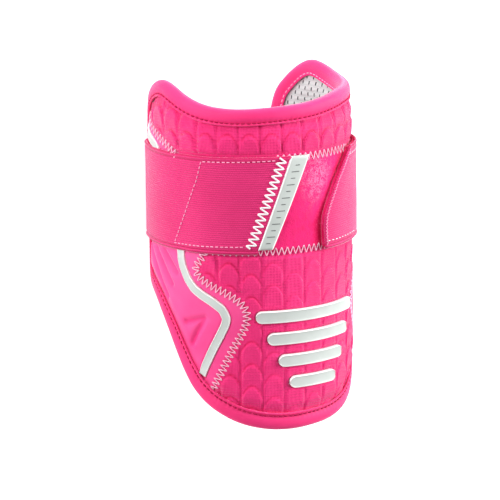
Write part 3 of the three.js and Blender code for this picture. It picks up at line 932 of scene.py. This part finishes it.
def strapPiece():
    lineTree = treeOf(strapSpots)

    def rule(u, v):
        edgeRow = v * (strapHigh - strapLow)
        y = strapLow + edgeRow
        first, last = hookRun + hookShift(y), fixedRun + slantShift(y) + strap["tuck"]
        run = first + u * (last - first)
        rim = np.minimum(edgeRow, strapHigh - strapLow - edgeRow)
        out = strap["thickness"]
        for rise, at, width in selvedge:
            out = out + rise * np.exp(-((rim - at) / width) ** 2)
        wobble = strap["wobble"] * np.sin(run * 0.11 + y * 0.07) * np.sin(y * 0.17 + 1.0)
        out += wobble + hookLift(run - hookRun, y)
        out -= strap["cutDip"] * np.exp(-((run - first) / strap["cutReach"]) ** 2)
        return onStrap(run, y, out), np.stack([run, y], axis=1), 1.0

    # the inner face follows the strap's line, and rises with the hook end
    def back(points):
        y = points[:, 1] / mm - cuff["foot"]
        spots = np.stack([points[:, 0] / mm, points[:, 2] / mm - cuff["axis"]], axis=1)
        near = [lineTree.find((*spot, 0))[1] for spot in spots]
        run, way = strapReached[near], strapOut[near]
        lift = ((spots - strapSpots[near]) * way).sum(axis=1)
        spots = spots - way * (lift - strap["backGap"] - hookLift(run - hookRun, y))[:, None]
        return np.stack([spots[:, 0], cuff["foot"] + y, cuff["axis"] + spots[:, 1]], axis=1) * mm

    mesh = clothGrid(int((fixedRun - hookRun) / strap["step"]), strap["rows"], rule)
    giveWall(mesh, back)
    piece = pieceFrom(mesh, "strap_band", "elastic", ["elastic_strap"])


strapPiece()


loop = {
    "low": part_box("loop_panel")[0][1] / mm - cuff["foot"],
    "high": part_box("loop_panel")[1][1] / mm - cuff["foot"],
    "left": -63.0 * perDegree,
    "right": 62.0 * perDegree,
    "base": radius - 0.4,     # sunk a little into the cover
    "pile": 0.72,
    "rubbedAt": (3, 136),     # arc and height of the worn patch, and its size
    "rubbedSize": (9, 12),
    "rubbedLeast": 0.03,
    "cutShadow": 0.5,           # painted shadow along the strap's cut end
}
loopTop = loop["base"] + 0.7

hook = {
    "base": loopTop + 0.3,
    "thickness": 0.8,
    "inset": 1.0,             # from the strap's edges
    "setback": 0.1,           # from its cut
    "length": 24,
    "sink": 0.15,
}
hookTurn = strap["hookAngle"] * perDegree


def hookEnd(y):
    return hookTurn + hookShift(y)


# a cloth patch that lies round the front, between two lines that may lean with the height
def patch(name, finish, slot, stands, base, thickness, low, high, left, right,
          step=0.9, rim=0.5, wobble=0.0, lift=None):
    rows = max(4, int((high - low) / step))
    columns = max(4, int((right(strapMiddle) - left(strapMiddle)) / step))

    def rule(u, v):
        y = low + v * (high - low)
        x = left(y) + u * (right(y) - left(y))
        gap = np.minimum(np.minimum(x - left(y), right(y) - x), np.minimum(y - low, high - y))
        out = base + thickness - rim * (1 - ease(0, 1.1, gap))
        tufts = wobble * np.sin(x * 1.7 + 2 * np.sin(y * 0.9)) * np.sin(y * 1.9 + np.sin(x * 0.7))
        out += tufts * ease(0.5, 2, gap)
        out = out + lift(x, y) if lift else out
        across = 2 * (x - left(y)) / (right(y) - left(y)) - 1
        flat = np.stack([x, y if slot != "label" else across], axis=1)
        return placeAll(x, y, out), flat, pileWearAndShadow(x, y)

    mesh = clothGrid(columns, rows, rule)
    giveWall(mesh, lambda points: placeAll(*flatten(points)[:2], base))
    return pieceFrom(mesh, name, finish, stands)


# rubbed pale in the middle, and darkened with painted shadow just past the strap's cut
def pileWearAndShadow(x, y):
    (atX, atY), (sizeX, sizeY) = loop["rubbedAt"], loop["rubbedSize"]
    worn = np.exp(-(((x - atX) / sizeX) ** 2 + ((y - atY) / sizeY) ** 2)) + loop["rubbedLeast"]
    past = hookEnd(y) - x
    # painted shadow on the pile just past the strap's cut end
    return worn - loop["cutShadow"] * ease(-1, 0.5, past) * (1 - ease(0.5, 7, past))


patch("loop_pile", "pile", "pile", ["loop_panel"], loop["base"], loop["pile"], loop["low"], loop["high"],
      lambda y: loop["left"], lambda y: loop["right"], step=0.8, rim=0.4, wobble=0.1)
patch("hook_patch", "pile", "pile", ["hook_pad"], hook["base"], hook["thickness"],
      strapLow + hook["inset"], strapHigh - hook["inset"],
      lambda y: hookEnd(y) + hook["setback"], lambda y: hookTurn + hookCut[-1][1] + hook["length"],
      step=1.0, rim=0.35, wobble=0.05, lift=lambda x, y: hookLift(x - hookTurn, y) - hook["sink"])


# threads are thin tubes along runs of points
def threads(name, runs, thickness, finish, sides=1):
    curve = bpy.data.curves.new(name, "CURVE")
    curve.dimensions = "3D"
    curve.bevel_depth = thickness / 2 * mm
    curve.bevel_resolution = sides
    curve.use_fill_caps = True
    for run in runs:
        spline = curve.splines.new("POLY")
        spline.points.add(len(run) - 1)
        for point, spot in zip(spline.points, run):
            point.co = (*spot, 1)
    holder = bpy.data.objects.new(name + "_line", curve)
    bpy.context.scene.collection.objects.link(holder)
    data = bpy.data.meshes.new_from_object(holder)
    bpy.data.objects.remove(holder)
    data.name = name
    return pieceOf(data, name, finish)


# zigzag about a flat line; the line's points are x, y in millimetres
def zigzag(line, pitch, swing, step=0.25):
    line = evenly(np.asarray(line, float), step)
    way = np.gradient(line, axis=0)
    way /= np.hypot(*way.T)[:, None]
    along = np.arange(len(line)) * step
    swerve = 2 / np.pi * np.arcsin(0.97 * np.sin(along * 2 * np.pi / pitch))
    return line + np.stack([-way[:, 1], way[:, 0]], axis=1) * (swerve * swing / 2)[:, None]


def coverThread(line, lift):
    return placeAll(line[:, 0], line[:, 1], coverRadius(line[:, 0], line[:, 1]) + lift)


seamStitch = {"pitch": 2.8, "swing": 5.2, "thread": 0.5, "lift": 0.28, "tapeGap": 0.2, "strapGap": 1.5}


def seamThreads():
    heights = np.linspace(seamHeights[0], seamHeights[-1], 900)
    strapGap = seamStitch["strapGap"]
    for side, name in ((-1, "left"), (1, "right")):
        line = np.stack([side * seamAt(heights), heights], axis=1)
        keep = awayFrom(edgeTree, line[:, 0], line[:, 1]) > cuff["tapeWidth"] + seamStitch["tapeGap"]
        keep &= np.interp(line[:, 0], rimX, rimLow) < heights
        keep &= heights < np.interp(line[:, 0], rimX, rimHigh)
        runs = []
        for part in (heights < strapLow + strapGap, heights > strapHigh - strapGap):
            chosen = line[keep & part]
            if len(chosen) > 2:
                swung = zigzag(chosen, seamStitch["pitch"], seamStitch["swing"])
                runs.append(coverThread(swung, seamStitch["lift"]))
        threads("seam_stitch_" + name, runs, seamStitch["thread"], "paleThread")


panelStitch = {"pitch": 3.2, "swing": 4.8, "thread": 0.48, "gap": 0.3, "turnsAbove": (-21, 31),
               "pileLift": 0.15, "coverLift": 0.1}


def panelThreads():
    left, right = (turn * perDegree for turn in panelStitch["turnsAbove"])
    rows = ((loop["low"] - panelStitch["gap"], loop["left"], loop["right"]),
            (loop["high"] + panelStitch["gap"], left, right))
    runs = []
    for height, first, last in rows:
        xs = np.linspace(first - 1, last + 1, 400)
        line = np.stack([xs, np.full(len(xs), height)], axis=1)
        x, y = zigzag(line, panelStitch["pitch"], panelStitch["swing"]).T
        onPile = (y > loop["low"]) & (y < loop["high"])
        out = np.where(onPile, loopTop + panelStitch["pileLift"], radius + panelStitch["coverLift"])
        runs.append(placeAll(x, y, blur(out, 2, closed=False)))
    threads("panel_stitch", runs, panelStitch["thread"], "paleThread")


def bindingThreads():
    step, bow = binding["threadStep"], np.array(binding["threadBow"])
    for name, (way, thickness, finish) in binding["threads"].items():
        base = cuff["edgeMiddle"] + way * cuff["edgeThickness"] / 2
        depth = narrowed(np.full(len(edge), binding["stitchDepth"]), np.full(len(edge), way), edge[:, 1])
        run = evenly(edge + edgeIn * depth[:, None], step, closed=True)
        count = int(round(len(run) * step / binding["stitchPitch"]))
        runs = []
        for mark in np.linspace(0, len(run), count, endpoint=False):
            picks = (int(mark) + np.arange(len(bow))) % len(run)
            out = base + way * (binding["threadLift"] + bow)
            runs.append(placeAll(run[picks, 0], run[picks, 1], out))
        threads("binding_stitch_" + name, runs, thickness, finish)


def strapThread(line, lift):
    run = runAtTurn(line[:, 0] / perDegree)
    return onStrap(run, line[:, 1], strap["thickness"] + lift + hookLift(run - hookRun, line[:, 1]))


def dashes(line, pitch, share, step=0.3):
    line = evenly(np.asarray(line, float), step)
    count = int(len(line) * step / pitch)
    picks = int(pitch * share / step) + 1
    return [line[int(i * pitch / step): int(i * pitch / step) + picks] for i in range(count)]


barStitch = {"pitch": 3.55, "swing": 5.5, "thread": 1.0, "lift": 0.3, "setback": 3.9, "gaps": (3.6, 1.2)}
boxStitch = {"pitch": 2.6, "share": 0.62, "thread": 0.58, "lift": 0.08}
boxCorners = [(-23.2, 146.5), (-63.7, 145.8), (-66.5, 136), (-70.5, 127), (-74.5, 118),
              (-83.2, 100.1), (-38.5, 101.0)]        # turn and height
hookStitch = {"pitch": 3.0, "share": 0.4, "thread": 0.5, "lift": 0.1, "inset": 4.2, "setback": 2.2,
              "turns": 34}
hookZigzag = {"pitch": 1.8, "swing": 1.1, "thread": 0.36, "lift": 0.05, "inset": 2.0, "setback": 1.7}


def strapBar():
    low, high = barStitch["gaps"]
    heights = np.linspace(strapLow + low, strapHigh - high, 60)
    xs = strap["fixedAngle"] * perDegree + slantShift(heights) - barStitch["setback"]
    swung = zigzag(np.stack([xs, heights], axis=1), barStitch["pitch"], barStitch["swing"])
    run = strapThread(swung, barStitch["lift"])
    threads("strap_bar_stitch", [run], barStitch["thread"], "whiteThread", sides=2)


def strapBox():
    line = np.array([(turn * perDegree, height) for turn, height in boxCorners])
    sewn = dashes(line, boxStitch["pitch"], boxStitch["share"])
    runs = [strapThread(dash, boxStitch["lift"]) for dash in sewn]
    threads("strap_box_stitch", runs, boxStitch["thread"], "pinkThread")


def hookRows():
    runs = []
    for height in (strapLow + hookStitch["inset"], strapHigh - hookStitch["inset"]):
        first = 360 - strap["hookAngle"] - (hookShift(height) + hookStitch["setback"]) / perDegree
        last = first - hookStitch["turns"]
        line = np.array([(-first * perDegree, height), (-last * perDegree, height)])
        sewn = dashes(line, hookStitch["pitch"], hookStitch["share"])
        runs += [strapThread(dash, hookStitch["lift"]) for dash in sewn]
    threads("hook_end_stitch", runs, hookStitch["thread"], "whiteThread")


def hookEdge():
    heights = np.linspace(strapLow + hookZigzag["inset"], strapHigh - hookZigzag["inset"], 60)
    turns = -360 + strap["hookAngle"] + (hookShift(heights) + hookZigzag["setback"]) / perDegree
    line = np.stack([turns * perDegree, heights], axis=1)
    run = strapThread(zigzag(line, hookZigzag["pitch"], hookZigzag["swing"]), hookZigzag["lift"])
    threads("hook_end_zigzag", [run], hookZigzag["thread"], "pinkThread")


seamThreads()
panelThreads()
bindingThreads()
strapBar()
strapBox()
hookRows()
hookEdge()


def softenEdges(mesh, size, sharp=24):
    edges = [item for item in mesh.edges
             if item.is_manifold and math.degrees(item.calc_face_angle(0)) > sharp]
    bmesh.ops.bevel(mesh, geom=edges, offset=size * mm, offset_type="OFFSET", affect="EDGES",
                    segments=2, profile=0.5, material=-1, clamp_overlap=True)


# a strip of one section along a flat line; half widths and lifts may change along it
def mouldedStrip(name, line, halves, lifts, depth, facet, stands):
    way = np.gradient(line, axis=0)
    way /= np.hypot(*way.T)[:, None]
    side = np.stack([way[:, 1], -way[:, 0]], axis=1)
    section = np.array([(-1, -1), (-1, 0.45), (-0.9, 1), (-0.8, 1), (-0.7, facet), (0.7, facet),
                        (0.8, 1), (0.9, 1), (1, 0.45), (1, -1)])       # across, level
    count, points = len(line) - 1, len(section)

    def rule(u, v):
        i = np.rint(u * count).astype(int)
        across, level = section[np.rint(v * points).astype(int) % points].T
        x, y = (line[i] + side[i] * (across * halves[i])[:, None]).T
        up = np.where(level < 0, -depth, level * lifts[i])
        return placeAll(x, y, coverRadius(x, y) + up), np.stack([i * 0.5, across], axis=1), 1.0

    mesh = clothGrid(count, points, rule)
    bmesh.ops.remove_doubles(mesh, verts=mesh.verts[:], dist=0.005 * mm)
    ends = [item for item in mesh.edges if item.is_boundary]
    bmesh.ops.holes_fill(mesh, edges=ends, sides=points)
    bmesh.ops.recalc_face_normals(mesh, faces=mesh.faces[:])
    softenEdges(mesh, 0.12)
    return pieceFrom(mesh, name, "rubber", stands)


flash = {
    "half": 2.3,
    "proud": 0.75,
    "sunk": 0.02,             # what stands up under the strap
    "depth": 1.1,
    "facet": 0.8,
    "tapeTuck": 0.6,
    "strapReach": 3,
}


def flashes():
    for side, name in ((-1, "left"), (1, "right")):
        line = flashLine * (side, 1)
        line = line[awayFrom(edgeTree, *line.T) > cuff["tapeWidth"] - flash["tapeTuck"]]
        lifts = flash["proud"] * (1 - underStrap(line[:, 1], reach=flash["strapReach"])) + flash["sunk"]
        mouldedStrip("flash_strip_" + name, line, np.full(len(line), flash["half"]), lifts,
                     flash["depth"], flash["facet"], ["flash_" + name])


def frontRibs():
    for i, (height, length) in enumerate(ribs):
        half = rib["height"] / 2
        bend = half * (1 - np.cos(np.linspace(rib["bendFrom"], np.pi / 2, rib["bendPoints"])))
        body = np.linspace(-length / 2 + half, length / 2 - half, int(length / rib["grid"]))
        xs = np.concatenate([bend[:-1] - length / 2, body, length / 2 - bend[-2::-1]])
        past = np.maximum(np.abs(xs) - (length - rib["height"]) / 2, 0)
        halves = np.sqrt(np.maximum(half ** 2 - past ** 2, 0.04))
        lifts = np.minimum(rib["proud"], 0.8 + halves * 0.5)
        line = np.stack([xs, np.full(len(xs), height)], axis=1)
        mouldedStrip(f"rib_bar_{i + 1}", line, halves, lifts, rib["depth"], rib["facet"],
                     [f"front_rib_{i + 1}"])


flashes()
frontRibs()


label = {
    "thickness": 1.5,
    "gaps": (2.6, 0.2),       # from the strap's low and high edge
    "left": (-32.9, -14.2),   # turn at its low and high end
    "right": (-24.9, -3.0),
    "ticks": 13,
    "tickFrom": 6.2,
    "tickPitch": 3.4,
    "tickHalf": (1.1, 2.1),   # short and long ones in turn
    "tickThread": 0.4,
}


def labelPieces():
    finishes["label"] = finishes["rubber"]
    low, high = strapLow + label["gaps"][0], strapHigh - label["gaps"][1]
    base = loopTop + 0.3

    def side(turns):
        return lambda y: np.interp(y, [low, high], [turn * perDegree for turn in turns])

    left, right = side(label["left"]), side(label["right"])
    patch("label_plate", "label", "label", ["label_tab"], base, label["thickness"], low, high,
          left, right, step=0.7, rim=0.55)
    runs = []
    for i in range(label["ticks"]):
        y = strapLow + label["tickFrom"] + i * label["tickPitch"]
        x = (left(y) + right(y)) / 2
        half = label["tickHalf"][i % 2]
        tick = np.linspace(x - half, x + half, 5)
        runs.append(placeAll(tick, np.full(5, y), base + label["thickness"]))
    threads("label_marks", runs, label["tickThread"], "ink")


labelPieces()
view = {
    "side": 37.0,             # degrees round from the front, towards the left wing
    "rise": 12.0,             # degrees up towards the upper arm's end
    "roll": -0.7,
    "distance": 2.0,
    "aim": (0.0, 0.0, 0.038),
    "aimAt": (250.2, 240.6),
    "pixelsForMetre": 1854,
    "picture": 500,
    "sensor": 36,
}


def viewAxes():
    side, rise, roll = (math.radians(view[key]) for key in ("side", "rise", "roll"))
    back = Vector((-math.sin(side) * math.cos(rise), math.sin(rise), math.cos(side) * math.cos(rise)))
    right = Vector((0, 1, 0)).cross(back).normalized()
    up = back.cross(right)
    turned = right * math.cos(roll) + up * math.sin(roll)
    return turned, back.cross(turned), back


right, up, back = viewAxes()


def makeCamera():
    camera = bpy.data.cameras.new("photoCamera")
    camera.sensor_width = view["sensor"]
    camera.lens = view["pixelsForMetre"] * view["distance"] * view["sensor"] / view["picture"]
    camera.shift_x = (view["picture"] / 2 - view["aimAt"][0]) / view["picture"]
    camera.shift_y = (view["aimAt"][1] - view["picture"] / 2) / view["picture"]
    camera.clip_end = 20
    holder = bpy.data.objects.new("photoCamera", camera)
    bpy.context.scene.collection.objects.link(holder)
    turn = Matrix((right, up, back)).transposed().to_4x4()
    holder.matrix_world = Matrix.Translation(Vector(view["aim"]) + back * view["distance"]) @ turn
    bpy.context.scene.camera = holder


studio = {
    "left": {"at": (-1.3, 0.6, 0.55), "size": 0.7, "power": 17},
    "right": {"at": (1.3, 0.3, 0.15), "size": 0.7, "power": 25},
    "top": {"at": (0.1, 1.3, 0.5), "size": 0.8, "power": 7.5},
    "lowest": 0.15,           # no lamp hangs lower
    "world": 0.4,
    "floor": (214, 214, 214),
    "floorPatch": (206, 206, 206),
    "floorGlow": 0.8,
    "floorDrop": 0.1,
}


def makeStudio():
    for name in ("left", "right", "top"):
        lamp = bpy.data.lights.new(name + "Light", "AREA")
        lamp.size, lamp.energy = studio[name]["size"], studio[name]["power"]
        holder = bpy.data.objects.new(name + "Light", lamp)
        bpy.context.scene.collection.objects.link(holder)
        x, y, z = studio[name]["at"]
        spot = Vector(view["aim"]) + right * x + up * y + back * z
        spot.z = max(spot.z, studio["lowest"])
        holder.location = spot
        holder.rotation_euler = (spot - Vector(view["aim"])).to_track_quat("Z", "Y").to_euler()
    world = bpy.data.worlds.new("paleRoom")
    world.use_nodes = True
    shade = world.node_tree.nodes["Background"]
    shade.inputs["Color"].default_value = (1, 1, 1, 1)
    shade.inputs["Strength"].default_value = studio["world"]
    bpy.context.scene.world = world

    mesh = bmesh.new()
    bmesh.ops.create_grid(mesh, x_segments=8, y_segments=8, size=4)
    data = bpy.data.meshes.new("floor")
    mesh.to_mesh(data)
    mesh.free()
    finish = Finish("paleFloor", 0.9, specular=0.1)
    finish.shades(finish.noise(3) * 0.2, studio["floor"], studio["floorPatch"])
    finish.give("Emission Color", (1, 1, 1, 1))
    finish.give("Emission Strength", studio["floorGlow"])
    data.materials.append(finish.material)
    floor = bpy.data.objects.new("floor", data)
    floor.location.z = -studio["floorDrop"] * mm
    bpy.context.scene.collection.objects.link(floor)


makeCamera()
makeStudio()
bpy.context.scene.view_settings.view_transform = "Standard"
print("stage ready")
